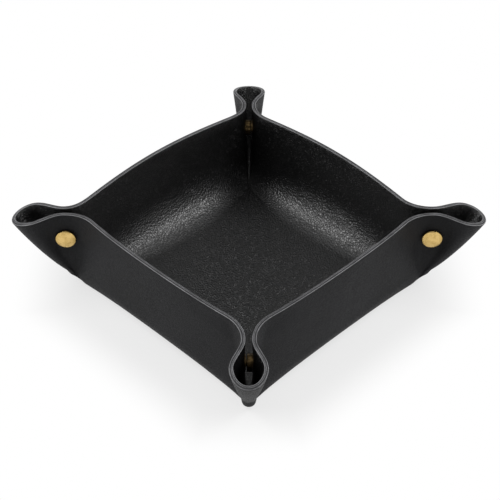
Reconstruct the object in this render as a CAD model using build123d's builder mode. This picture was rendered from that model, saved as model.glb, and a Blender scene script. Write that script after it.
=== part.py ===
from build123d import *
import os
from math import asin, cos, pi, radians, sin, sqrt

# Leather: a smooth outer sheet and a grained lining, bonded over their whole area
shell_thickness = 1.2
lining_thickness = 0.8

# Walls, all sizes of outer faces; a wall leans in beside the corners and bulges at its middle
base_half = 63.2
wall_height = 44.9
pinch_draw_in = 2.25
middle_foot_bulge = 0.7
middle_rim_bulge = 0.85
middle_rise = 1.9
tip_drop = 5.92

# Bends where the floor turns up into a wall, a pinched corner and a corner loop
wall_bend = 10.0
pinch_bend = 4.0
loop_bend = 8.0

# Pinched corner: the two walls run side by side at the snap, then open into a long round loop
pinch_gap = 3.7
pinch_foot_gap = 0.3
pinch_turn_radius = 12.0
pinch_foot_radius = 0.3
pinch_flat_half = 3.1
foot_flat_half = 0.2
loop_foot_radius = 0.3
loop_half_width = 4.84
loop_half_length = 8.1
loop_foot_setback = 3.61
loop_reach = 115.75
loop_belly = 2.37
loop_least = 0.8
full_opening_run = 8.0
snap_height = 30.4

# Snap fastener, measured along its own axis
cap_diameter = 10.2
cap_edge = 0.9
cap_dome = 1.3
cap_roll = 0.4
cap_sink = 0.2
post_radius = 1.3
post_flare_radius = 2.0
post_flare = 0.3
socket_radius = 4.2
socket_mouth_radius = 2.4
socket_groove_radius = 2.8
socket_groove = 0.8
socket_plate = 0.48
socket_lip = 0.5
socket_round = 0.35
spring_wire_radius = 0.25
spring_coil_radius = 2.35
spring_opening = 50
stud_flange_radius = 4.0
stud_flange = 0.5
stud_neck_radius = 1.85
stud_head_radius = 2.15
stud_head = 0.6
stud_crown_radius = 1.6
stud_crown = 0.3
snap_clearance = 0.05
mating_gap = 0.35
overrun = 4.0

leather_thickness = shell_thickness + lining_thickness
cap_radius = cap_diameter / 2
corner_reach = sqrt(2) * base_half
loop_foot_reach = corner_reach - loop_foot_setback
loop_height = wall_height - tip_drop
pinch_lean = -pinch_draw_in / wall_height
middle_lean = (middle_rim_bulge - middle_foot_bulge) / wall_height
loop_lean = (loop_reach - loop_foot_reach) / loop_height

# Heights of the outlines: bend_turns are angles round the wall bend, the rest are shares of the wall
bend_turns = (0, 15, 30, 45, 60, 75)
wall_height_shares = (0.26, 0.38, 0.52, 0.66, 0.8, 0.94, 1.08)
gap_full_share = 0.54
flat_full_share = 0.5
gap_rise_share = 0.7
loop_width_rise_share = 1.48
loop_length_rise_share = 1.12

# Handles of the curves from a pinch to the tip of its loop, as shares of the run between their ends
pinch_handle_share = 0.532
loop_handle_share = 0.2
skin_handle_share = 0.7
round_handle_share = 4 / 3 * (sqrt(2) - 1)

corners = {"front_right": -45, "back_right": 45, "back_left": 135, "front_left": -135}


def folded_reach(height, inset, foot, lean, bend):
    """Distance out to a sheet that bends up from the floor into a leaning wall."""
    slant = sqrt(1 + lean * lean)
    bend_centre = foot + lean * bend - bend * slant
    bend_top = bend - (bend - inset) * lean / slant
    if height >= bend_top:
        return foot + lean * height - inset * slant
    return bend_centre + sqrt(max((bend - inset) ** 2 - (bend - height) ** 2, 0))


def half_flat_length(height):
    """Half length of the flat where the two walls run side by side."""
    grown = min(height / (flat_full_share * wall_height), 1) ** 2
    return foot_flat_half + (pinch_flat_half - foot_flat_half) * grown


def pinch_half_gap(height):
    """Half the space between the lining faces of the two walls."""
    opened = min(height / (gap_full_share * wall_height), 1) ** gap_rise_share
    return (pinch_foot_gap + (pinch_gap - pinch_foot_gap) * opened) / 2


def loop_tip(height, inset):
    """Distance out to the tip of a loop, which bulges a little between its foot and its rim."""
    rise = height / loop_height
    straight = folded_reach(height, inset, loop_foot_reach, loop_lean, loop_bend)
    return straight + loop_belly * 4 * rise * (1 - rise)


def corner_shape(height, inset):
    """Centres, reaches and handles of one corner's outline, along and across its diagonal."""
    skin = leather_thickness - inset
    half_flat = half_flat_length(height)
    turn_radius = pinch_foot_radius + pinch_turn_radius * height / wall_height + inset
    turn_across = turn_radius + skin + pinch_half_gap(height)
    wall = folded_reach(height, inset, base_half, pinch_lean, pinch_bend)
    middle_foot = base_half + middle_foot_bulge
    middle = folded_reach(height, inset, middle_foot, middle_lean, wall_bend)
    first_along = sqrt(2) * (wall + turn_radius) - turn_across
    second_along = first_along + 2 * half_flat
    rise = height / loop_height
    half_width = loop_foot_radius + loop_half_width * rise ** loop_width_rise_share + skin
    half_length = loop_foot_radius + loop_half_length * rise ** loop_length_rise_share + skin
    loop_along = max(loop_tip(height, inset) - half_length, second_along + loop_least)
    # The side arc is tangent to the first turn; side_turn is how far it swings from straight
    out_x = (first_along - turn_across) / sqrt(2)
    out_y = (first_along + turn_across) / sqrt(2)
    side_radius = (out_x ** 2 + (out_y - middle) ** 2 - turn_radius ** 2) / (2 * (wall - middle))
    side_turn = asin(out_x / (side_radius - turn_radius))
    # An outer face opens a little sooner than an inner one, which keeps the leather's thickness
    run = loop_along - second_along
    sooner = skin_handle_share * skin * min(run / full_opening_run, 1)
    return {
        "first": first_along, "second": second_along, "across": turn_across, "turn": turn_radius,
        "loop": loop_along, "half_width": half_width, "tip": loop_along + half_length,
        "leaves": second_along + pinch_handle_share * run - sooner,
        "arrives": loop_along - loop_handle_share * run - sooner,
        "middle": middle, "side_turn": side_turn,
    }


def round_turn(shape, angle):
    """Point on the pinch's turn where the outline runs at this angle to the diagonal."""
    turn = shape["turn"]
    return (shape["first"] + turn * sin(angle), turn * cos(angle) - shape["across"])


def half_corner(shape):
    """Points from the end of a side to the tip of the loop, on the near side of the diagonal."""
    start = shape["side_turn"] - pi / 4
    pinched = shape["turn"] - shape["across"]
    loop, tip, widest = shape["loop"], shape["tip"], -shape["half_width"]
    return [
        round_turn(shape, start),
        round_turn(shape, start / 2),
        (shape["first"], pinched),
        (shape["second"], pinched),
        (shape["leaves"], pinched),
        (shape["arrives"], widest),
        (loop, widest),
        (loop + round_handle_share * (tip - loop), widest),
        (tip, round_handle_share * widest),
        (tip, 0),
    ]


def turned(point, degrees_round):
    """A point along and across a diagonal, placed in the plan."""
    angle = radians(degrees_round)
    along, across = point
    return (along * cos(angle) - across * sin(angle), along * sin(angle) + across * cos(angle))


def outline(height, inset):
    """Draw the closed outline of the folded sheet at one height, four sides and four corners."""
    shape = corner_shape(height, inset)
    near = half_corner(shape)
    far = [(along, -across) for along, across in near]
    for diagonal in corners.values():
        a = [turned(point, diagonal) for point in near]
        b = [turned(point, diagonal) for point in far]
        before = turned(far[0], diagonal - 90)
        middle = turned((shape["middle"], 0), diagonal - 45)
        ThreePointArc(before, middle, a[0])
        for side in (a, b):
            ThreePointArc(side[0], side[1], side[2])
            Line(side[2], side[3])
            Bezier(*side[3:7])
            Bezier(*side[6:])


def level_heights(inset):
    """Heights of the outlines for one face of the leather, from its floor up."""
    low = [wall_bend - (wall_bend - inset) * cos(radians(turn)) for turn in bend_turns]
    return low + [share * wall_height for share in wall_height_shares]


def folded_form(inset):
    """The solid space inside one face of the folded leather."""
    with BuildPart() as form:
        for height in level_heights(inset):
            with BuildSketch(Plane.XY.offset(height)):
                with BuildLine():
                    outline(height, inset)
                make_face()
        loft()
    return form.part


def snap_plane(diagonal, side):
    """Plane at the middle of a snap: X up the wall, Z out through the wall on that side."""
    along = (cos(radians(diagonal)), sin(radians(diagonal)), 0)
    across = (-side * sin(radians(diagonal)), side * cos(radians(diagonal)), 0)
    shape = corner_shape(snap_height, 0)
    reach = (shape["first"] + shape["second"]) / 2
    centre = (reach * along[0], reach * along[1], snap_height)
    return Plane(origin=centre, x_dir=(0, 0, 1), z_dir=across)


inner_face = pinch_gap / 2
outer_face = inner_face + leather_thickness
cap_seat = outer_face - cap_sink
rim_top = level_heights(0)[-1]
rim_shape = corner_shape(wall_height, 0)
pinch_reach = (rim_shape["first"] + rim_shape["second"]) / 2
tip_reach = rim_shape["tip"]

# The rim is a surface of revolution: high at the wall middles, level at the pinches, low at the tips
with BuildPart() as rim_cutter:
    with BuildSketch(Plane.XZ):
        with BuildLine():
            pinch_point = (pinch_reach, wall_height)
            middle_point = (rim_shape["middle"], wall_height + middle_rise)
            tip_point = (tip_reach, wall_height - tip_drop)
            above = rim_top + overrun
            outside = tip_reach + overrun
            TangentArc(pinch_point, middle_point, tangent=(-1, 0))
            TangentArc(pinch_point, tip_point, tangent=(1, 0))
            Polyline(tip_point, (outside, tip_point[1]), (outside, above), (0, above),
                     (0, middle_point[1]), middle_point)
        make_face()
    revolve(axis=Axis.Z)

outer_form = folded_form(0)
middle_form = folded_form(shell_thickness)
inner_form = folded_form(leather_thickness)


# Seats pressed into the leather by the caps, and the holes for their posts
with BuildPart() as snap_cutter:
    for diagonal in corners.values():
        for side in (1, -1):
            plane = snap_plane(diagonal, side)
            with BuildSketch(plane.offset(cap_seat)):
                Circle(cap_radius + snap_clearance)
            extrude(amount=cap_edge + overrun)
            with BuildSketch(plane.offset(inner_face - overrun / 2)):
                Circle(post_radius + snap_clearance)
            extrude(amount=leather_thickness + overrun)


def leather_layer(outside_form, inside_form):
    """One layer of the folded leather, cut to its rim and pierced for the snaps."""
    with BuildPart() as layer:
        add(outside_form)
        add(inside_form, mode=Mode.SUBTRACT)
        add(rim_cutter.part, mode=Mode.SUBTRACT)
        add(snap_cutter.part, mode=Mode.SUBTRACT)
    return layer


# Levels along a snap's axis, from the middle of the gap; the socket side is positive
stud_back = snap_clearance - inner_face
stud_flange_top = stud_back + stud_flange
socket_mouth = stud_flange_top + mating_gap
socket_lip_top = socket_mouth + socket_lip
socket_groove_top = socket_lip_top + socket_groove
spring_level = socket_lip_top + socket_groove / 2
socket_back = inner_face - snap_clearance
socket_plate_face = socket_back - socket_plate
socket_post_end = socket_plate_face - snap_clearance - post_flare
stud_top = socket_post_end - mating_gap
stud_bore_end = stud_top - stud_crown
stud_post_end = stud_bore_end - snap_clearance
bore_radius = post_radius + snap_clearance


def section_plane(plane):
    """Plane that holds a snap's axis: X out from the axis, Y along it."""
    return Plane(origin=plane.origin, x_dir=plane.x_dir, z_dir=plane.x_dir.cross(plane.z_dir))


def snap_cap(plane, post_points):
    """Domed cap with a rolled edge; post_points run from the axis round the post's end."""
    seat = cap_seat + snap_clearance
    edge_top = seat + cap_edge
    flat_radius = cap_radius - cap_roll
    crown = (0, edge_top + cap_dome)
    with BuildPart() as cap:
        with BuildSketch(section_plane(plane)):
            with BuildLine():
                Polyline(crown, *post_points, (post_radius, seat), (flat_radius, seat))
                RadiusArc((flat_radius, seat), (cap_radius, seat + cap_roll), -cap_roll)
                Line((cap_radius, seat + cap_roll), (cap_radius, edge_top - cap_roll))
                RadiusArc((cap_radius, edge_top - cap_roll), (flat_radius, edge_top), -cap_roll)
                TangentArc(crown, (flat_radius, edge_top), tangent=(1, 0))
            make_face()
        revolve(axis=Axis(plane.origin, plane.z_dir))
    return cap


def snap_socket(plane):
    """Female half: a back plate on the lining, a side wall, a groove for the spring and a mouth."""
    with BuildPart() as socket:
        with BuildSketch(section_plane(plane)):
            with BuildLine():
                lip_outside = socket_radius - socket_round
                Polyline((lip_outside, socket_mouth), (socket_mouth_radius, socket_mouth),
                         (socket_mouth_radius, socket_lip_top), (socket_groove_radius, socket_lip_top),
                         (socket_groove_radius, socket_groove_top),
                         (socket_mouth_radius, socket_groove_top),
                         (socket_mouth_radius, socket_plate_face), (bore_radius, socket_plate_face),
                         (bore_radius, socket_back), (socket_radius, socket_back),
                         (socket_radius, socket_mouth + socket_round))
                RadiusArc((socket_radius, socket_mouth + socket_round), (lip_outside, socket_mouth),
                          socket_round)
            make_face()
        revolve(axis=Axis(plane.origin, plane.z_dir))
    return socket


def snap_spring(plane):
    """Open wire ring that lies in the socket's groove and grips the neck of the stud."""
    with BuildPart() as spring:
        with BuildLine(plane.offset(spring_level)) as ring:
            CenterArc((0, 0), spring_coil_radius, spring_opening / 2, 360 - spring_opening)
        with BuildSketch(Plane(origin=ring.line @ 0, z_dir=ring.line % 0)):
            Circle(spring_wire_radius)
        sweep()
    return spring


def snap_stud(plane):
    """Male half: a flange on the lining and a hollow neck with a round head."""
    widest = stud_top - stud_head / 2
    neck_top = (stud_neck_radius, stud_top - stud_head)
    crown_edge = (stud_crown_radius, stud_top)
    with BuildPart() as stud:
        with BuildSketch(section_plane(plane)):
            with BuildLine():
                ThreePointArc(neck_top, (stud_head_radius, widest), crown_edge)
                Polyline(crown_edge, (0, stud_top), (0, stud_bore_end), (bore_radius, stud_bore_end),
                         (bore_radius, stud_back), (stud_flange_radius, stud_back),
                         (stud_flange_radius, stud_flange_top), (stud_neck_radius, stud_flange_top),
                         neck_top)
            make_face()
        revolve(axis=Axis(plane.origin, plane.z_dir))
    return stud


leather_shell = leather_layer(outer_form, middle_form)
lining = leather_layer(middle_form, inner_form)
pieces = {"leather_shell": leather_shell, "lining": lining}

# The socket's post is flared behind its plate; the stud's post ends plain inside its bore
flare_face = socket_post_end + post_flare
flared_post = [(0, socket_post_end), (post_flare_radius, socket_post_end),
               (post_flare_radius, flare_face), (post_radius, flare_face)]
plain_post = [(0, -stud_post_end), (post_radius, -stud_post_end)]

for corner, diagonal in corners.items():
    socket_side = snap_plane(diagonal, 1)
    stud_side = snap_plane(diagonal, -1)
    pieces[corner + "_socket_cap"] = snap_cap(socket_side, flared_post)
    pieces[corner + "_socket"] = snap_socket(socket_side)
    pieces[corner + "_socket_spring"] = snap_spring(socket_side)
    pieces[corner + "_stud"] = snap_stud(socket_side)
    pieces[corner + "_stud_cap"] = snap_cap(stud_side, plain_post)

os.makedirs("parts", exist_ok=True)
for name, piece in pieces.items():
    piece.part.label = name
    export_step(piece.part, "parts/" + name + ".step")
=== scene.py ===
from math import asin, cos, hypot, pi, radians, sin, sqrt

import bpy
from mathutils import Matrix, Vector


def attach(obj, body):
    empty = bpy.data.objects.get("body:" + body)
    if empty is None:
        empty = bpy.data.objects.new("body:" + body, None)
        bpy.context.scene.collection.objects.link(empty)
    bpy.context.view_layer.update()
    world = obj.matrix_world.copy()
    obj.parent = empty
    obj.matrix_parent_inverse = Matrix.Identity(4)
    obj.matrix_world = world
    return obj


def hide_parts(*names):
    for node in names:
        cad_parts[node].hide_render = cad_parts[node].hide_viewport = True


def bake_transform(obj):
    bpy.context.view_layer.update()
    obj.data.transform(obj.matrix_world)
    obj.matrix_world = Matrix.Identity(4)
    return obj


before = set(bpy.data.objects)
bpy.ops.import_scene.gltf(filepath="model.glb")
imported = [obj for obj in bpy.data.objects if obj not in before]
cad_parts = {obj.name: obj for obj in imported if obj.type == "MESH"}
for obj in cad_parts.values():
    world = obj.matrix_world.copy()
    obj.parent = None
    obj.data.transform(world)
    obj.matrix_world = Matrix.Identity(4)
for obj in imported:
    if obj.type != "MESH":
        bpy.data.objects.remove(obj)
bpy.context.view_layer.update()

# The leather as it is cut and folded, in millimetres; metres() takes a point to the scene
SHELL_THICKNESS = 1.2
LEATHER_THICKNESS = 2.0

BASE_HALF = 63.2
WALL_HEIGHT = 44.9
PINCH_DRAW_IN = 2.25
MIDDLE_FOOT_BULGE = 0.7
MIDDLE_RIM_BULGE = 0.85
MIDDLE_RISE = 1.9
TIP_DROP = 6.48

WALL_BEND = 10.0
PINCH_BEND = 4.0
LOOP_BEND = 8.0
# The soft lining fills the bend inside, so it turns up more gently than the shell
LINING_WALL_BEND = 22.0
LINING_PINCH_BEND = 10.5

PINCH_GAP = 3.7
PINCH_FOOT_GAP = 0.3
PINCH_TURN_RADIUS = 12.0
PINCH_FOOT_RADIUS = 0.3
PINCH_FLAT_HALF = 3.1
FOOT_FLAT_HALF = 0.2
LOOP_FOOT_RADIUS = 0.3
LOOP_HALF_WIDTH = 5.75
LOOP_HALF_LENGTH = 8.3
LOOP_FOOT_SETBACK = 3.61
LOOP_REACH = 115.4
LOOP_BELLY = 1.77
LOOP_LEAST = 0.8

# Above the snap the leather is free: the two walls only just meet, and swing away at once
FREE_HEIGHT = 34.0
RIM_GAP = 2.91
RIM_TURN_RADIUS = 17.0
RIM_FLAT_HALF = 0.2
RIM_DRAW_IN = 0.56

# The pinch widens to its full flat and full gap part of the way up the wall, each at its own pace
FLAT_FULL_AT, FLAT_PACE = 0.5, 2
GAP_FULL_AT, GAP_PACE = 0.54, 0.7

# Handles of the curves from the pinch to the tip of a loop, at the snap and at the rim
PINCH_HANDLES = (0.532, 0.394)
LOOP_HANDLES = (0.2, 0.27)
ROUND_HANDLE = 4 / 3 * (sqrt(2) - 1)
# An inner face turns a little sooner than the outer one, in full where the curve is long enough
INNER_LEAD, INNER_LEAD_RUN = 0.7, 8.0

# The foot of each fold curls up off the table, most at the two sides
FOOT_CURL = {"front_right": 0.0, "back_right": 1.0, "back_left": 0.5, "front_left": 1.0}
# Its lift and pull inward, where along the diagonal it starts and ends, and how fast it fades up
CURL_LIFT, CURL_PULL, CURL_START, CURL_RUN, CURL_FADE = 3.8, 1.75, 81.9, 8.35, 8
# The fold in front has a fuller foot than the others
FOOT_FULLNESS = {"front_right": 0.12, "back_right": 0.0, "back_left": 0.0, "front_left": 0.0}
# It fills out just above the table and fades higher up, and grows along the diagonal
FULLNESS_RISE, FULLNESS_TOP, FULLNESS_FADE = 4, 5, 7
FULLNESS_START, FULLNESS_RUN = 80, 7

# The caps are pressed into the leather, which dips in a ring round each
CAP_REACH, CAP_HEIGHT, CAP_RADIUS = 89.96, 30.4, 5.1
DIP_DEPTH, DIP_START, DIP_EDGE, DIP_RUN = 0.5, 2.5, 2, 6.0
# Only leather this far from the diagonal dips, which leaves out the tip of the loop
DIP_CLEARANCE, DIP_CLEARANCE_RUN = 2, 1.5
# Sizes out from the plane of the diagonal: the seat on the leather, the side, the crowned face
CAP_SEAT, CAP_SIDE, CAP_SHOULDER, CAP_CROWN = 3.7, 0.76, 0.4, 5.9
CAP_LIP, CAP_LIP_RISE = 0.2, 0.12
# The shoulder turns in, in degrees, until it meets the crown, which is a shallow piece of a sphere
SHOULDER_TURNS, CROWN_TURN, CROWN_STEP = (0, 16, 32, 48, 65), 25, 3
# The socket's cap has its post flared in the socket; the stud's is plain and ends in the stud
SOCKET_POST_END, STUD_POST_END = 0.97, -0.27
POST_RADIUS, FLARE_RADIUS, FLARE = 1.3, 2.0, 0.3
CAP_STEPS = 56

# Two walls don't stand quite true: how far the rim bows out, from one end of the wall to the other
LEFT_BACK_BOW = (2.7, 2.0)
RIGHT_BACK_BOW = (1.3, -1.2)
# The bow grows up the wall and outward, and fades toward the corners
BOW_SPAN, BOW_PACE = 63, 1.3
BOW_START, BOW_RUN = 30, 30
BOW_END, BOW_FADE = 64, 17

LOOP_HEIGHT = WALL_HEIGHT - TIP_DROP
LOOP_FOOT_REACH = sqrt(2) * BASE_HALF - LOOP_FOOT_SETBACK
PINCH_LEAN = -PINCH_DRAW_IN / WALL_HEIGHT
MIDDLE_LEAN = (MIDDLE_RIM_BULGE - MIDDLE_FOOT_BULGE) / WALL_HEIGHT
LOOP_LEAN = (LOOP_REACH - LOOP_FOOT_REACH) / LOOP_HEIGHT

# The cut edge is rubbed round at both faces, and a little where the two layers meet
EDGE_ROUND = 0.36
SEAM_ROUND = 0.14
EDGE_TURNS = (30, 60, 90)
# The edge is square to the leather just under it; a few passes find where the two meet
BELOW_RIM, RIM_PASSES, FACE_PASSES = 0.5, 6, 5

# Each corner by the turn of its diagonal; the socket half is on the wall anticlockwise of it
CORNERS = {"front_right": -45, "back_right": 45, "back_left": 135, "front_left": -135}

# Stations along half a corner: wall, turn into the pinch, flat, opening and loop
WALL_STEPS, TURN_STEPS, FLAT_STEPS, OPENING_STEPS, LOOP_STEPS = 34, 9, 4, 12, 16
# Rows from the middle of the floor out, round the bend by its angle, and up the straight wall
FLOOR_SHARES = (0.1, 0.3, 0.5, 0.68, 0.8, 0.88, 0.93, 0.965, 0.988)
BEND_TURNS = (0, 1.5, 4, 8, 13, 19, 25, 32, 39, 46, 53, 60, 67, 74, 82, 90)
STRAIGHT_ROWS = 20
FOOT_ROW = len(FLOOR_SHARES)
# The foot and the fold of a corner end a little above the bend
FOLD_ROW = FOOT_ROW + len(BEND_TURNS) + 2
ROWS = FOOT_ROW + len(BEND_TURNS) + STRAIGHT_ROWS
TOP = ROWS + len(EDGE_TURNS) - 1


def metres(x, y, z):
    return Vector((x / 1000, y / 1000, z / 1000))


def folded_reach(height, inset, foot, lean, bend):
    """Distance out to leather that bends up from the floor into a leaning wall."""
    slant = sqrt(1 + lean * lean)
    bend_top = bend - (bend - inset) * lean / slant
    if height >= bend_top:
        return foot + lean * height - inset * slant
    bend_centre = foot + lean * bend - bend * slant
    return bend_centre + sqrt(max((bend - inset) ** 2 - (bend - height) ** 2, 0))


def eased(share):
    share = min(max(share, 0), 1)
    return share * share * (3 - 2 * share)


def toward(start, end, share):
    return start + (end - start) * share


def bends(inset):
    """How gently one face of the leather turns up, at the middle of a wall and at a pinch."""
    if inset == LEATHER_THICKNESS:
        return LINING_WALL_BEND, LINING_PINCH_BEND
    return WALL_BEND, PINCH_BEND


def widened(height, full_at, pace):
    """How much of its full width a part of the pinch has at a height."""
    return min(max(height, 0) / (full_at * WALL_HEIGHT), 1) ** pace


def corner_shape(height, inset):
    """Centres, reaches and handles of a corner's outline, along and across its diagonal."""
    skin = LEATHER_THICKNESS - inset
    wall_bend, pinch_bend = bends(inset)
    free = eased((height - FREE_HEIGHT) / (WALL_HEIGHT - FREE_HEIGHT))
    wall = folded_reach(height, inset, BASE_HALF, PINCH_LEAN, pinch_bend)
    middle = folded_reach(height, inset, BASE_HALF + MIDDLE_FOOT_BULGE, MIDDLE_LEAN, wall_bend)
    held_flat = toward(FOOT_FLAT_HALF, PINCH_FLAT_HALF, widened(height, FLAT_FULL_AT, FLAT_PACE))
    held_gap = toward(PINCH_FOOT_GAP, PINCH_GAP, widened(height, GAP_FULL_AT, GAP_PACE)) / 2
    held_turn = PINCH_FOOT_RADIUS + PINCH_TURN_RADIUS * height / WALL_HEIGHT
    snap = sqrt(2) * (wall + held_turn + inset) - (held_turn + inset + skin + held_gap) + held_flat
    half_flat = toward(held_flat, RIM_FLAT_HALF, free)
    turn = toward(held_turn, RIM_TURN_RADIUS, free) + inset
    across = turn + skin + toward(held_gap, RIM_GAP / 2, free)
    first = snap - half_flat - RIM_DRAW_IN * free
    second = first + 2 * half_flat
    rise = max(height, 0) / LOOP_HEIGHT
    half_width = LOOP_FOOT_RADIUS + LOOP_HALF_WIDTH * rise + skin
    half_length = LOOP_FOOT_RADIUS + LOOP_HALF_LENGTH * rise + skin
    reach = folded_reach(height, inset, LOOP_FOOT_REACH, LOOP_LEAN, LOOP_BEND)
    reach += LOOP_BELLY * 4 * rise * (1 - rise)
    loop = max(reach - half_length, second + LOOP_LEAST)
    out_x = (first - across) / sqrt(2)
    out_y = (first + across) / sqrt(2)
    side_radius = (out_x ** 2 + (out_y - middle) ** 2 - turn ** 2) / (2 * (out_y - turn - middle))
    run = loop - second
    sooner = INNER_LEAD * skin * min(run / INNER_LEAD_RUN, 1)
    return {
        "first": first, "second": second, "across": across, "turn": turn, "middle": middle,
        "side_radius": side_radius, "side_turn": asin(out_x / (side_radius - turn)),
        "leaves": second + toward(*PINCH_HANDLES, free) * run - sooner,
        "arrives": loop - toward(*LOOP_HANDLES, free) * run - sooner,
        "loop": loop, "half_width": half_width, "tip": loop + half_length,
    }


def along_curve(share, controls):
    """A point on a cubic curve through its handles."""
    back = 1 - share
    weights = (back ** 3, 3 * share * back ** 2, 3 * share ** 2 * back, share ** 3)
    return tuple(sum(w * c[axis] for w, c in zip(weights, controls)) for axis in (0, 1))


def station_point(part, share, height, inset):
    """A point of half a corner's outline, along and across the diagonal."""
    shape = corner_shape(height, inset)
    if part == "wall":
        angle = shape["side_turn"] * share
        x = shape["side_radius"] * sin(angle)
        y = shape["middle"] + shape["side_radius"] * (1 - cos(angle))
        return (x + y) / sqrt(2), (x - y) / sqrt(2)
    if part == "turn":
        angle = (shape["side_turn"] - pi / 4) * (1 - share)
        turn = shape["turn"]
        return shape["first"] + turn * sin(angle), turn * cos(angle) - shape["across"]
    pinched = shape["turn"] - shape["across"]
    loop, tip, widest = shape["loop"], shape["tip"], -shape["half_width"]
    if part == "flat":
        return shape["first"] + (shape["second"] - shape["first"]) * share, pinched
    if part == "opening":
        controls = ((shape["second"], pinched), (shape["leaves"], pinched),
                    (shape["arrives"], widest), (loop, widest))
    else:
        controls = ((loop, widest), (loop + ROUND_HANDLE * (tip - loop), widest),
                    (tip, ROUND_HANDLE * widest), (tip, 0))
    return along_curve(share, controls)


def half_stations():
    """Every station from the middle of a wall to the tip of a loop."""
    found = []
    for part, steps in (("wall", WALL_STEPS), ("turn", TURN_STEPS), ("flat", 2 * FLAT_STEPS),
                        ("opening", OPENING_STEPS), ("loop", LOOP_STEPS)):
        found += [(part, k / steps) for k in range(steps)]
    return found + [("loop", 1.0)]


RIM = corner_shape(WALL_HEIGHT, 0)


def rim_height(reach):
    """Height of the cut rim at a distance from the middle: high at the walls, low at the tips."""
    pinch = (RIM["first"] + RIM["second"]) / 2
    if reach <= pinch:
        run, rise = pinch - RIM["middle"], MIDDLE_RISE
    else:
        run, rise = RIM["tip"] - pinch, -TIP_DROP
    radius = (run * run + rise * rise) / (2 * abs(rise))
    step = min(abs(reach - pinch), run)
    lift = radius - sqrt(radius * radius - step * step)
    return WALL_HEIGHT + (lift if rise > 0 else -lift)


def column_point(station, height, inset):
    along, across = station_point(*station, height, inset)
    return Vector((along, across, height))


def rounding(inset):
    """The radius that a face of a layer has where it meets the cut edge."""
    return SEAM_ROUND if inset == SHELL_THICKNESS else EDGE_ROUND


def rim_frame(station):
    """The outer rim point of a station, the way up the leather there and the way through it."""
    height = WALL_HEIGHT
    for _ in range(RIM_PASSES):
        point = column_point(station, height, 0)
        height = rim_height(hypot(point.x, point.y))
    outer = column_point(station, height, 0)
    up = (outer - column_point(station, height - BELOW_RIM, 0)).normalized()
    inner_height = height
    for _ in range(FACE_PASSES):
        inner = column_point(station, inner_height, LEATHER_THICKNESS)
        inner_height -= (inner - outer).dot(up) / up.z
    inner = column_point(station, inner_height, LEATHER_THICKNESS)
    return outer, up, inner - outer


def column(station, inset):
    """Points up one face of the leather at a station, from the floor to just under the rim."""
    outer, up, _ = rim_frame(station)
    top = outer.z
    for _ in range(FACE_PASSES):
        top -= ((column_point(station, top, inset) - outer).dot(up) + rounding(inset)) / up.z
    heights = [WALL_BEND - (WALL_BEND - inset) * cos(radians(turn)) for turn in BEND_TURNS]
    rise = top - WALL_BEND
    heights += [WALL_BEND + rise * k / STRAIGHT_ROWS for k in range(1, STRAIGHT_ROWS + 1)]
    rising = [column_point(station, height, inset) for height in heights]
    foot = rising[0]
    return [Vector((foot.x * share, foot.y * share, foot.z)) for share in FLOOR_SHARES] + rising


def rim_points(station, inset, other):
    """The rounded edge of one layer at a station, from one of its faces to the flat of the edge."""
    outer, up, through = rim_frame(station)
    lip = rounding(inset)
    inward = 1 if other > inset else -1
    found = []
    for turn in EDGE_TURNS:
        depth = inset + inward * lip * (1 - cos(radians(turn)))
        below = lip * (1 - sin(radians(turn)))
        found.append(outer + through * (depth / LEATHER_THICKNESS) - up * below)
    return found


HALF = half_stations()
MID = WALL_STEPS + TURN_STEPS + FLAT_STEPS
CORNER_STATIONS = 2 * (len(HALF) - 1)


def face_grid(inset, other):
    """Columns of one face of a layer for a whole corner, wall middle to wall middle."""
    near = [column(station, inset) + rim_points(station, inset, other) for station in HALF]
    far = [[Vector((p.x, -p.y, p.z)) for p in points] for points in near[:-1]]
    return near + far[::-1]


def settled(point, corner, inset):
    """The foot of a fold curled up and filled out, and the leather dipped in round the caps."""
    along, across, height = point
    from_cap = hypot(along - CAP_REACH, height - CAP_HEIGHT)
    dip = DIP_DEPTH * eased((from_cap - DIP_START) / DIP_EDGE)
    dip *= 1 - eased((from_cap - CAP_RADIUS) / DIP_RUN)
    dip *= 1 - inset / LEATHER_THICKNESS
    dip *= eased((abs(across) - DIP_CLEARANCE) / DIP_CLEARANCE_RUN)
    across -= dip if across > 0 else -dip
    full = FOOT_FULLNESS[corner] * eased(height / FULLNESS_RISE)
    full *= 1 - eased((height - FULLNESS_TOP) / FULLNESS_FADE)
    across *= 1 + full * eased((along - FULLNESS_START) / FULLNESS_RUN)
    curl = FOOT_CURL[corner] * eased((along - CURL_START) / CURL_RUN)
    curl *= (1 - min(max(height / WALL_HEIGHT, 0), 1)) ** CURL_FADE
    return along - CURL_PULL * curl, across, height + CURL_LIFT * curl


def rim_bow(ends, out, along):
    """How far the rim of one back wall bows out, which fades inward and at the wall's ends."""
    bow = toward(*ends, (along + BOW_SPAN) / (2 * BOW_SPAN))
    return bow * eased((out - BOW_START) / BOW_RUN) * eased((BOW_END - abs(along)) / BOW_FADE)


def bowed(x, y, z):
    """A point moved with the bow of the two back walls, most at the rim."""
    lean = (max(z, 0) / WALL_HEIGHT) ** BOW_PACE
    return x - rim_bow(LEFT_BACK_BOW, -x, y) * lean, y + rim_bow(RIGHT_BACK_BOW, y, x) * lean, z


def turned(point, degrees_round):
    x, y, z = point
    a = radians(degrees_round)
    return metres(*bowed(x * cos(a) - y * sin(a), x * sin(a) + y * cos(a), z))


def layer_points(inset, other):
    """All columns of one face round the tray; a corner's last station is the next one's first."""
    grid = face_grid(inset, other)
    return [[turned(settled(p, corner, inset), diagonal) for p in points]
            for corner, diagonal in CORNERS.items() for points in grid[:-1]]


# Edges that turn by more than this many degrees stay sharp
LEATHER_CREASE, BRASS_CREASE = 50, 40

# The two sides of a piece, and the slots of its materials
OUT, IN = 0, 1
OUTER_FACE, ROUNDED_EDGE, INNER_FACE, FLAT_EDGE = range(4)


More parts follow.
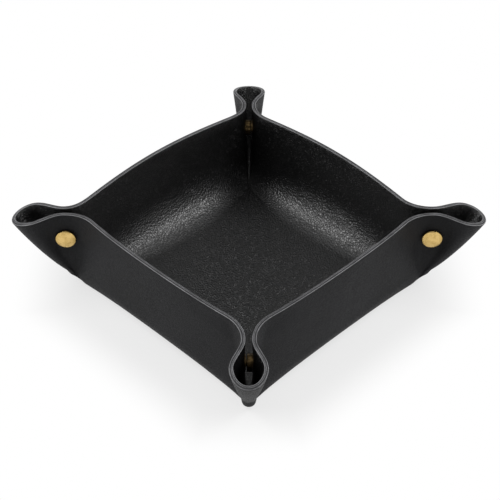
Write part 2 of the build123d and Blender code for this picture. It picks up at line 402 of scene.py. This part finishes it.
def new_piece(name, points, faces, materials, sharp_above):
    """A smooth-shaded mesh object, with an edge kept sharp where it turns by more than an angle."""
    mesh = bpy.data.meshes.new(name)
    mesh.from_pydata([tuple(p) for p in points], [], faces)
    for material in materials:
        mesh.materials.append(material)
    mesh.polygons.foreach_set("use_smooth", [True] * len(faces))
    mesh.update()
    mesh.set_sharp_from_angle(angle=radians(sharp_above))
    piece = bpy.data.objects.new(name, mesh)
    bpy.context.scene.collection.objects.link(piece)
    return piece


def leather_piece(name, cells, outside, inside, floor, materials):
    """A closed piece of one layer: its cells on both faces, its floor, and an edge all round."""
    count = len(outside)
    skins = (outside, inside)
    index, points, faces, slots = {}, [], [], []

    def vertex(side, station, row):
        key = (side, station % count, row)
        if key not in index:
            index[key] = len(points)
            points.append(skins[side][station % count][row])
        return index[key]

    def add(corners, slot):
        faces.append(corners)
        slots.append(slot)

    edges = {}
    for station, row in cells:
        loop = [(station, row), (station + 1, row), (station + 1, row + 1), (station, row + 1)]
        rounded = row >= ROWS
        add([vertex(OUT, *c) for c in loop], ROUNDED_EDGE if rounded else OUTER_FACE)
        add([vertex(IN, *c) for c in reversed(loop)], ROUNDED_EDGE if rounded else INNER_FACE)
        for a, b in zip(loop, loop[1:] + loop[:1]):
            a, b = (a[0] % count, a[1]), (b[0] % count, b[1])
            if (b, a) in edges:
                del edges[(b, a)]
            else:
                edges[(a, b)] = True
    if floor:
        ring = [(station, 0) for station in range(count)]
        add([vertex(OUT, *c) for c in reversed(ring)], OUTER_FACE)
        add([vertex(IN, *c) for c in ring], INNER_FACE)
        for a, b in zip(ring, ring[1:] + ring[:1]):
            if (a, b) in edges:
                del edges[(a, b)]
            else:
                edges[(b, a)] = True
    for a, b in edges:
        on_rim = a[1] == TOP and b[1] == TOP
        add([vertex(OUT, *b), vertex(OUT, *a), vertex(IN, *a), vertex(IN, *b)],
            FLAT_EDGE if on_rim else ROUNDED_EDGE)
    piece = new_piece(name, points, faces, materials, LEATHER_CREASE)
    piece.data.polygons.foreach_set("material_index", slots)
    return piece


# Shader groups: grain, dye and tarnish

def shader_group(name, inputs, outputs):
    """An empty node group with its sockets, and the nodes where they come in and go out."""
    group = bpy.data.node_groups.new(name, "ShaderNodeTree")
    for label, kind, value in inputs:
        socket = group.interface.new_socket(label, in_out="INPUT", socket_type=kind)
        if value is not None:
            socket.default_value = value
    for label, kind in outputs:
        group.interface.new_socket(label, in_out="OUTPUT", socket_type=kind)
    return group, group.nodes.new("NodeGroupInput"), group.nodes.new("NodeGroupOutput")


def calculated(tree, operation, a, b=0.0, clamp=False):
    """A sum or other step on two values, each a number or another node's output."""
    node = tree.nodes.new("ShaderNodeMath")
    node.operation = operation
    node.use_clamp = clamp
    for socket, value in zip(node.inputs, (a, b)):
        if isinstance(value, (int, float)):
            socket.default_value = value
        else:
            tree.links.new(value, socket)
    return node.outputs[0]


def spread(tree, value, low, high, to_low=0.0, to_high=1.0):
    """A smooth step from one value to another as the input goes from low to high."""
    node = tree.nodes.new("ShaderNodeMapRange")
    node.interpolation_type = "SMOOTHSTEP"
    tree.links.new(value, node.inputs["Value"])
    node.inputs["From Min"].default_value = low
    node.inputs["From Max"].default_value = high
    node.inputs["To Min"].default_value = to_low
    node.inputs["To Max"].default_value = to_high
    return node.outputs[0]


def noise(tree, vector, scale, detail=3.0, roughness=0.5):
    node = tree.nodes.new("ShaderNodeTexNoise")
    node.inputs["Scale"].default_value = scale
    node.inputs["Detail"].default_value = detail
    node.inputs["Roughness"].default_value = roughness
    tree.links.new(vector, node.inputs["Vector"])
    return node.outputs["Fac"]


def make_pebble_grain():
    """Rounded leather grain cells with creases between them, at any cell size."""
    group, given, out = shader_group(
        "pebble_grain",
        [("Vector", "NodeSocketVector", None), ("Cells Per Metre", "NodeSocketFloat", 900.0),
         ("Softness", "NodeSocketFloat", 0.5)],
        [("Height", "NodeSocketFloat"), ("Crease", "NodeSocketFloat")])
    warp = group.nodes.new("ShaderNodeTexNoise")
    warp.inputs["Scale"].default_value = 260.0
    warp.inputs["Detail"].default_value = 2.0
    group.links.new(given.outputs["Vector"], warp.inputs["Vector"])
    shift = group.nodes.new("ShaderNodeVectorMath")
    shift.operation = "MULTIPLY_ADD"
    group.links.new(warp.outputs["Color"], shift.inputs[0])
    shift.inputs[1].default_value = (0.0005, 0.0005, 0.0005)
    group.links.new(given.outputs["Vector"], shift.inputs[2])
    cells = group.nodes.new("ShaderNodeTexVoronoi")
    cells.feature = "DISTANCE_TO_EDGE"
    group.links.new(shift.outputs[0], cells.inputs["Vector"])
    group.links.new(given.outputs["Cells Per Metre"], cells.inputs["Scale"])
    rounds = group.nodes.new("ShaderNodeTexVoronoi")
    rounds.feature = "SMOOTH_F1"
    group.links.new(shift.outputs[0], rounds.inputs["Vector"])
    group.links.new(given.outputs["Cells Per Metre"], rounds.inputs["Scale"])
    group.links.new(given.outputs["Softness"], rounds.inputs["Smoothness"])
    crease = spread(group, cells.outputs["Distance"], 0.0, 0.16)
    dome = calculated(group, "SUBTRACT", 1.0, rounds.outputs["Distance"])
    group.links.new(calculated(group, "MULTIPLY", crease, dome), out.inputs["Height"])
    group.links.new(calculated(group, "SUBTRACT", 1.0, crease), out.inputs["Crease"])
    return group


def make_uneven_dye():
    """Broad uneven patches of dye and fine wear, as a mask."""
    group, given, out = shader_group(
        "uneven_dye",
        [("Vector", "NodeSocketVector", None), ("Patches Per Metre", "NodeSocketFloat", 30.0)],
        [("Patches", "NodeSocketFloat"), ("Fine", "NodeSocketFloat")])
    broad = group.nodes.new("ShaderNodeTexNoise")
    broad.inputs["Detail"].default_value = 4.0
    group.links.new(given.outputs["Vector"], broad.inputs["Vector"])
    group.links.new(given.outputs["Patches Per Metre"], broad.inputs["Scale"])
    group.links.new(spread(group, broad.outputs["Fac"], 0.3, 0.7), out.inputs["Patches"])
    fine = noise(group, given.outputs["Vector"], 1400.0, 2.0, 0.6)
    group.links.new(spread(group, fine, 0.3, 0.7), out.inputs["Fine"])
    return group


def make_tarnish():
    """Mottled tarnish for cast and rolled brass, with fine pits."""
    group, given, out = shader_group(
        "tarnish",
        [("Vector", "NodeSocketVector", None), ("Blotches Per Metre", "NodeSocketFloat", 450.0)],
        [("Tarnish", "NodeSocketFloat"), ("Pits", "NodeSocketFloat")])
    blotch = group.nodes.new("ShaderNodeTexNoise")
    blotch.inputs["Detail"].default_value = 5.0
    blotch.inputs["Roughness"].default_value = 0.62
    group.links.new(given.outputs["Vector"], blotch.inputs["Vector"])
    group.links.new(given.outputs["Blotches Per Metre"], blotch.inputs["Scale"])
    group.links.new(spread(group, blotch.outputs["Fac"], 0.38, 0.66), out.inputs["Tarnish"])
    pits = noise(group, given.outputs["Vector"], 2600.0, 2.0, 0.7)
    group.links.new(spread(group, pits, 0.6, 0.75), out.inputs["Pits"])
    return group


PEBBLE_GRAIN = make_pebble_grain()
UNEVEN_DYE = make_uneven_dye()
TARNISH = make_tarnish()


# Materials

def new_material(name, **constants):
    """A material with its tree, its shader, whose named sockets are set, and object coordinates."""
    material = bpy.data.materials.new(name)
    material.use_nodes = True
    tree = material.node_tree
    shader = tree.nodes["Principled BSDF"]
    for label, value in constants.items():
        shader.inputs[label.replace("_", " ").title().replace("Ior", "IOR")].default_value = value
    where = tree.nodes.new("ShaderNodeTexCoord").outputs["Object"]
    return material, tree, shader, where


def placed(tree, group, where, **values):
    """The outputs of a shader group in a material, with its named sockets set."""
    node = tree.nodes.new("ShaderNodeGroup")
    node.node_tree = group
    tree.links.new(where, node.inputs["Vector"])
    for label, value in values.items():
        node.inputs[label.replace("_", " ").title()].default_value = value
    return node.outputs


def mixed(tree, factor, a, b):
    """One colour or another by a mask; the node's colour sockets are 6 and 7, and its result 2."""
    node = tree.nodes.new("ShaderNodeMix")
    node.data_type = "RGBA"
    tree.links.new(factor, node.inputs[0])
    for socket, value in zip((node.inputs[6], node.inputs[7]), (a, b)):
        if isinstance(value, tuple):
            socket.default_value = (*value, 1)
        else:
            tree.links.new(value, socket)
    return node.outputs[2]


def bump(tree, shader, height, distance, strength=1.0):
    node = tree.nodes.new("ShaderNodeBump")
    node.inputs["Strength"].default_value = strength
    node.inputs["Distance"].default_value = distance
    tree.links.new(height, node.inputs["Height"])
    tree.links.new(node.outputs["Normal"], shader.inputs["Normal"])


def outside_leather():
    material, tree, shader, where = new_material("outside_leather", specular_ior_level=0.15)
    grain = placed(tree, PEBBLE_GRAIN, where, cells_per_metre=1700.0, softness=0.8)
    dye = placed(tree, UNEVEN_DYE, where, patches_per_metre=26.0)
    colour = mixed(tree, dye["Patches"], (0.010, 0.010, 0.011), (0.018, 0.0182, 0.0202))
    creases = calculated(tree, "MULTIPLY", grain["Crease"], 0.6)
    colour = mixed(tree, creases, colour, (0.005, 0.005, 0.0057))
    tree.links.new(colour, shader.inputs["Base Color"])
    tree.links.new(spread(tree, dye["Fine"], 0.0, 1.0, 0.46, 0.6), shader.inputs["Roughness"])
    fine = calculated(tree, "MULTIPLY", dye["Fine"], 0.3)
    height = calculated(tree, "ADD", grain["Height"], fine)
    bump(tree, shader, height, 0.00008)
    return material


def lining_leather():
    material, tree, shader, where = new_material("lining_leather", specular_ior_level=1.0)
    grain = placed(tree, PEBBLE_GRAIN, where, cells_per_metre=820.0, softness=0.6)
    dye = placed(tree, UNEVEN_DYE, where, patches_per_metre=20.0)
    colour = mixed(tree, dye["Patches"], (0.0028, 0.0028, 0.0031), (0.0045, 0.0045, 0.005))
    colour = mixed(tree, grain["Crease"], colour, (0.0015, 0.0015, 0.0015))
    tree.links.new(colour, shader.inputs["Base Color"])
    tree.links.new(spread(tree, grain["Crease"], 0.0, 1.0, 0.3, 0.42), shader.inputs["Roughness"])
    fine = calculated(tree, "MULTIPLY", dye["Fine"], 0.15)
    height = calculated(tree, "ADD", grain["Height"], fine)
    bump(tree, shader, height, 0.00014)
    return material


def cut_edge(name, dark, light, rough_low, rough_high):
    """Edge paint in two tones by a patch mask: a pale tone on the bevels is a painted highlight, a
    dark tone on the flat is the paint's own colour.
    """
    material, tree, shader, where = new_material(name, specular_ior_level=0.5)
    dye = placed(tree, UNEVEN_DYE, where, patches_per_metre=160.0)
    tree.links.new(mixed(tree, dye["Patches"], dark, light), shader.inputs["Base Color"])
    rough = spread(tree, dye["Fine"], 0.0, 1.0, rough_low, rough_high)
    tree.links.new(rough, shader.inputs["Roughness"])
    bump(tree, shader, dye["Fine"], 0.00004)
    return material


def brass(name, bright, dark, rough_low, rough_high, blotches, pit_depth):
    material, tree, shader, where = new_material(name, metallic=1.0)
    worn = placed(tree, TARNISH, where, blotches_per_metre=blotches)
    tree.links.new(mixed(tree, worn["Tarnish"], bright, dark), shader.inputs["Base Color"])
    rough = spread(tree, worn["Tarnish"], 0.0, 1.0, rough_low, rough_high)
    tree.links.new(rough, shader.inputs["Roughness"])
    bump(tree, shader, calculated(tree, "SUBTRACT", 1.0, worn["Pits"]), pit_depth)
    return material


def spring_steel():
    material, tree, shader, where = new_material("spring_steel", metallic=1.0)
    drawn = noise(tree, where, 3000.0, 2.0, 0.6)
    colour = mixed(tree, drawn, (0.42, 0.42, 0.43), (0.62, 0.62, 0.63))
    tree.links.new(colour, shader.inputs["Base Color"])
    tree.links.new(spread(tree, drawn, 0.3, 0.7, 0.22, 0.36), shader.inputs["Roughness"])
    return material


OUTSIDE = outside_leather()
LINING = lining_leather()
# The bevels' pale grey is a painted highlight on the rounded cut edge; the flat keeps the edge
# paint's own dark
PAINTED_HIGHLIGHT_BEVEL = cut_edge("bevel_painted_highlight", (0.18, 0.18, 0.187), (0.28, 0.28, 0.292), 0.3, 0.46)
EDGE = cut_edge("burnished_edge", (0.028, 0.028, 0.03), (0.046, 0.046, 0.049), 0.34, 0.5)
CAP_BRASS = brass("antique_brass", (0.74, 0.52, 0.2), (0.60, 0.41, 0.14),
                  0.2, 0.3, 500.0, 0.00002)
# The socket and stud halves sit deep in the loops; their brass is darkened far below the caps'
# brass as painted shade
SHADED_SNAP_BRASS = brass("brass_with_painted_shade", (0.13, 0.088, 0.04), (0.06, 0.042, 0.02),
                   0.28, 0.42, 700.0, 0.00001)
SPRING = spring_steel()


# Leather pieces: each layer is one piece for the tray and four for each corner that opens

SHELL_FACES = (layer_points(0, SHELL_THICKNESS), layer_points(SHELL_THICKNESS, 0))
LINING_FACES = (layer_points(SHELL_THICKNESS, LEATHER_THICKNESS),
                layer_points(LEATHER_THICKNESS, SHELL_THICKNESS))
LAYERS = (
    ("leather_shell", *SHELL_FACES, (OUTSIDE, PAINTED_HIGHLIGHT_BEVEL, OUTSIDE, EDGE), "outer_leather"),
    ("lining", *LINING_FACES, (LINING, PAINTED_HIGHLIGHT_BEVEL, LINING, EDGE), "grained_lining"),
)


def cells_between(start, end, low, high):
    return [(station, row) for station in range(start, end) for row in range(low, high)]


def corner_cells(number):
    """The cells of a corner that stay with the tray, and those of its four moving pieces."""
    start = number * CORNER_STATIONS
    end = start + CORNER_STATIONS
    stud_pinch, socket_pinch = start + MID, end - MID
    return cells_between(start, stud_pinch, FOOT_ROW, TOP), {
        "wall": cells_between(socket_pinch, end, FOLD_ROW, TOP),
        "foot": cells_between(socket_pinch, end, FOOT_ROW, FOLD_ROW),
        "loop": cells_between(stud_pinch, socket_pinch, FOLD_ROW, TOP),
        "fold": cells_between(stud_pinch, socket_pinch, FOOT_ROW, FOLD_ROW),
    }


for layer, outside, inside, materials, slot in LAYERS:
    still = cells_between(0, len(outside), 0, FOOT_ROW)
    for number, (corner, diagonal) in enumerate(CORNERS.items()):
        stays, moving = corner_cells(number)
        still += stays
        for part, cells in moving.items():
            name = layer + "_" + corner + "_" + part
            piece = leather_piece(name, cells, outside, inside, False, materials)
            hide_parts(layer)
            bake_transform(piece)
    piece = leather_piece(layer + "_tray", still, outside, inside, True, materials)
    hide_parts(layer)
    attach(piece, "tray")


# Snap fasteners

def cap_profile(post):
    """Radius and distance out of a cap: its post, its flat back, its side, shoulder and crown."""
    profile = post + [(POST_RADIUS, CAP_SEAT), (CAP_RADIUS - CAP_LIP, CAP_SEAT),
                      (CAP_RADIUS, CAP_SEAT + CAP_LIP_RISE)]
    for turn in SHOULDER_TURNS:
        inward = CAP_SHOULDER * (1 - cos(radians(turn)))
        outward = CAP_SHOULDER * sin(radians(turn))
        profile.append((CAP_RADIUS - inward, CAP_SEAT + CAP_SIDE + outward))
    sphere = profile[-1][0] / sin(radians(CROWN_TURN))
    for turn in range(CROWN_TURN - CROWN_STEP, 0, -CROWN_STEP):
        fall = sphere * (1 - cos(radians(turn)))
        profile.append((sphere * sin(radians(turn)), CAP_CROWN - fall))
    return profile


def domed_cap(name, diagonal, side, post):
    """A pressed cap with a crowned face and its post, turned about the snap's axis."""
    profile = cap_profile(post)
    a = radians(diagonal)
    along, outward = Vector((cos(a), sin(a), 0)), side * Vector((-sin(a), cos(a), 0))
    up = Vector((0, 0, 1))
    centre = along * CAP_REACH + up * CAP_HEIGHT
    # Point 0 is the end of the post and point 1 the top of the crown; the rings follow
    points = [centre + outward * profile[0][1], centre + outward * CAP_CROWN]
    rings = profile[1:]
    for radius, out in rings:
        for step in range(CAP_STEPS):
            turn = 2 * pi * step / CAP_STEPS
            rim = along * cos(turn) + up * sin(turn)
            points.append(centre + outward * out + radius * rim)
    faces = []
    last = 2 + (len(rings) - 1) * CAP_STEPS
    for step in range(CAP_STEPS):
        ahead = (step + 1) % CAP_STEPS
        faces.append((0, 2 + ahead, 2 + step))
        faces.append((1, last + step, last + ahead))
        for low in range(2, last, CAP_STEPS):
            high = low + CAP_STEPS
            faces.append((low + step, low + ahead, high + ahead, high + step))
    if side > 0:
        faces = [tuple(reversed(face)) for face in faces]
    return new_piece(name, [p / 1000 for p in points], faces, (CAP_BRASS,), BRASS_CREASE)


FLARED_POST = [(0, SOCKET_POST_END), (FLARE_RADIUS, SOCKET_POST_END),
               (FLARE_RADIUS, SOCKET_POST_END + FLARE), (POST_RADIUS, SOCKET_POST_END + FLARE)]
PLAIN_POST = [(0, STUD_POST_END), (POST_RADIUS, STUD_POST_END)]
# The socket and stud halves take the brass darkened as painted shade, and the spring takes steel
SNAP_MATERIALS = {"socket": SHADED_SNAP_BRASS, "stud": SHADED_SNAP_BRASS, "socket_spring": SPRING}

for corner, diagonal in CORNERS.items():
    halves = (("socket", 1, FLARED_POST, corner + "_socket_half"), ("stud", -1, PLAIN_POST, "tray"))
    for half, side, post, body in halves:
        cap = domed_cap(corner + "_" + half + "_domed_cap", diagonal, side, post)
        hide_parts(corner + "_" + half + "_cap")
        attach(cap, body)
    for part, snap_material in SNAP_MATERIALS.items():
        for material_slot in bpy.data.objects[corner + "_" + part].material_slots:
            material_slot.material = snap_material


# Floor, light and camera

# The floor's own white: weaker near the tray, so that its shadow shows, and full past the shadow
NEAR_GLOW, FAR_GLOW = 0.7, 1.0
SHADOW_INNER, SHADOW_OUTER = 0.075, 0.103
SHADOW_CORNER_CUT = 0.61
# How much of that white the leather and the brass mirror
MIRRORED_WHITE = 0.82
FLOOR_HALF = 4
# By height in the sky: a ceiling bright straight overhead, and a white backdrop near the floor
CEILING_LOW, CEILING_HIGH, CEILING_DIM, CEILING_BRIGHT = 0.72, 0.98, 0.12, 0.8
BACKDROP_LOW, BACKDROP_HIGH = 0.1, 0.45


def seen_directly(tree, ray):
    """A mask of the camera's own rays, through glass as well."""
    return calculated(tree, "ADD", ray["Is Camera Ray"], ray["Is Transmission Ray"], True)


def white_paper():
    """Paper that takes a soft shadow and shows as white past it."""
    paper = bpy.data.materials.new("white_paper")
    paper.use_nodes = True
    tree = paper.node_tree
    shader = tree.nodes["Principled BSDF"]
    shader.inputs["Base Color"].default_value = (0.86, 0.86, 0.86, 1)
    shader.inputs["Roughness"].default_value = 0.9
    shader.inputs["Specular IOR Level"].default_value = 0.1
    glow = tree.nodes.new("ShaderNodeEmission")
    glow.inputs["Color"].default_value = (1, 1, 1, 1)
    plan = tree.nodes.new("ShaderNodeSeparateXYZ")
    tree.links.new(tree.nodes.new("ShaderNodeTexCoord").outputs["Object"], plan.inputs[0])
    x, y = (calculated(tree, "ABSOLUTE", plan.outputs[axis]) for axis in ("X", "Y"))
    diagonal = calculated(tree, "MULTIPLY", calculated(tree, "ADD", x, y), SHADOW_CORNER_CUT)
    outward = calculated(tree, "MAXIMUM", calculated(tree, "MAXIMUM", x, y), diagonal)
    far = spread(tree, outward, SHADOW_INNER, SHADOW_OUTER, NEAR_GLOW, FAR_GLOW)
    ray = tree.nodes.new("ShaderNodeLightPath").outputs
    mirrored = calculated(tree, "MULTIPLY", ray["Is Glossy Ray"], MIRRORED_WHITE)
    seen = calculated(tree, "ADD", seen_directly(tree, ray), mirrored, True)
    mix = tree.nodes.new("ShaderNodeMixShader")
    tree.links.new(calculated(tree, "MULTIPLY", far, seen), mix.inputs[0])
    tree.links.new(shader.outputs[0], mix.inputs[1])
    tree.links.new(glow.outputs[0], mix.inputs[2])
    tree.links.new(mix.outputs[0], tree.nodes["Material Output"].inputs["Surface"])
    return paper


def paper_floor():
    half = FLOOR_HALF
    mesh = bpy.data.meshes.new("floor")
    corners = [(-half, -half, 0), (half, -half, 0), (half, half, 0), (-half, half, 0)]
    mesh.from_pydata(corners, [], [(0, 1, 2, 3)])
    floor = bpy.data.objects.new("floor", mesh)
    bpy.context.scene.collection.objects.link(floor)
    mesh.materials.append(white_paper())
    return floor


def studio_world():
    """White behind the tray, and a ceiling and a low backdrop that the leather mirrors."""
    world = bpy.data.worlds.new("studio")
    bpy.context.scene.world = world
    world.use_nodes = True
    tree = world.node_tree
    background = tree.nodes["Background"]
    background.inputs["Color"].default_value = (1, 1, 1, 1)
    ray = tree.nodes.new("ShaderNodeLightPath").outputs
    sky = tree.nodes.new("ShaderNodeSeparateXYZ")
    tree.links.new(tree.nodes.new("ShaderNodeTexCoord").outputs["Generated"], sky.inputs[0])
    height = sky.outputs["Z"]
    ceiling = spread(tree, height, CEILING_LOW, CEILING_HIGH, CEILING_DIM, CEILING_BRIGHT)
    low = spread(tree, height, BACKDROP_LOW, BACKDROP_HIGH, 1.0, 0.0)
    backdrop = calculated(tree, "MULTIPLY", low, ray["Is Glossy Ray"])
    seen = calculated(tree, "ADD", seen_directly(tree, ray), backdrop, True)
    strength = calculated(tree, "MAXIMUM", ceiling, seen)
    tree.links.new(strength, background.inputs["Strength"])


def soft_light(name, place, width, height, watts):
    """A rectangular softbox that faces the middle of the tray."""
    light = bpy.data.lights.new(name, "AREA")
    light.shape = "RECTANGLE"
    light.size = width
    light.size_y = height
    light.energy = watts
    lamp = bpy.data.objects.new(name, light)
    lamp.location = place
    facing = Vector((0, 0, 0.02)) - Vector(place)
    lamp.rotation_euler = facing.to_track_quat("-Z", "Y").to_euler()
    bpy.context.scene.collection.objects.link(lamp)


def tray_camera():
    """A long lens above the front corner, aimed a little off the middle of the tray."""
    azimuth, elevation, distance = radians(45), radians(40.4), 0.7081
    aside, height = 0.00052, 0.01969
    target = Vector((aside * cos(azimuth), aside * sin(azimuth), height))
    away = Vector((sin(azimuth) * cos(elevation), -cos(azimuth) * cos(elevation), sin(elevation)))
    lens = bpy.data.cameras.new("camera")
    lens.sensor_width = 36
    lens.lens = 102.28
    lens.clip_start = 0.01
    lens.clip_end = 20
    camera = bpy.data.objects.new("camera", lens)
    camera.location = target + away * distance
    camera.rotation_euler = (-away).to_track_quat("-Z", "Y").to_euler()
    bpy.context.scene.collection.objects.link(camera)
    bpy.context.scene.camera = camera


paper_floor()
studio_world()
soft_light("right_rear_softbox", (0.42, 0.54, 0.73), 0.5, 0.3, 3.2)
soft_light("left_rear_softbox", (-0.54, -0.38, 0.75), 0.5, 0.3, 3.0)
soft_light("left_front_softbox", (-0.60, -0.85, 0.32), 0.35, 0.35, 1.8)
soft_light("right_front_softbox", (0.95, 0.02, 0.36), 0.3, 0.3, 0.9)
tray_camera()
bpy.context.scene.view_settings.view_transform = "Standard"
